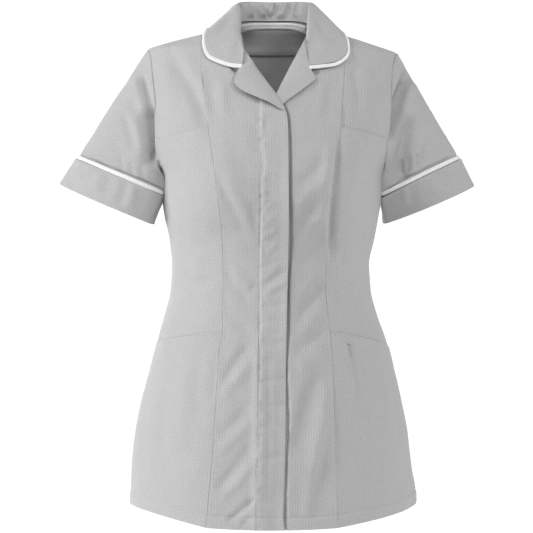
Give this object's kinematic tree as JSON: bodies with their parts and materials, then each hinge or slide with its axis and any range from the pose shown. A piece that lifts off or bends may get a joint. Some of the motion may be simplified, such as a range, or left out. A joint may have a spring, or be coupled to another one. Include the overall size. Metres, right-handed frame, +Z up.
{
  "type": "tunic top",
  "caption": "Fitted short-sleeved tunic top with a revere collar, piped collar and cuffs, a fly front, princess seams and seamed-in chest and hip pockets, filled out as worn.",
  "frame": {"origin": "middle of the neck base, level with the inner ends of the shoulder seams and above the side seams, where a wearer's neck and shoulders carry it", "axes": "+Z up along the wearer's body, the longest extent; +X to the wearer's left; +Y to the back, the shortest extent"},
  "size_m": [0.6219, 0.274, 0.7837],
  "materials": {
    "striped_cloth": "matt woven cotton blend in a fine grey and white stripe",
    "facing_cloth": "the same striped cloth, laid across at the inside of the back neck",
    "white_piping": "matt white folded strip"
  },
  "bodies": {
    "root": {"back_centre": "striped_cloth", "back_neck_facing": "facing_cloth", "collar": "striped_cloth", "collar_piping": "white_piping", "cuff_left": "striped_cloth", "cuff_piping_left": "white_piping", "cuff_piping_right": "white_piping", "cuff_right": "striped_cloth", "front_centre_left": "striped_cloth", "front_centre_right": "striped_cloth", "lapel_left": "striped_cloth", "lapel_right": "striped_cloth", "neck_binding": "striped_cloth", "side_back_left": "striped_cloth", "side_back_right": "striped_cloth", "side_front_lower_left": "striped_cloth", "side_front_lower_right": "striped_cloth", "side_front_middle_left": "striped_cloth", "side_front_middle_right": "striped_cloth", "side_front_upper_left": "striped_cloth", "side_front_upper_right": "striped_cloth", "sleeve_left": "striped_cloth", "sleeve_right": "striped_cloth"}
  },
  "joints": []
}
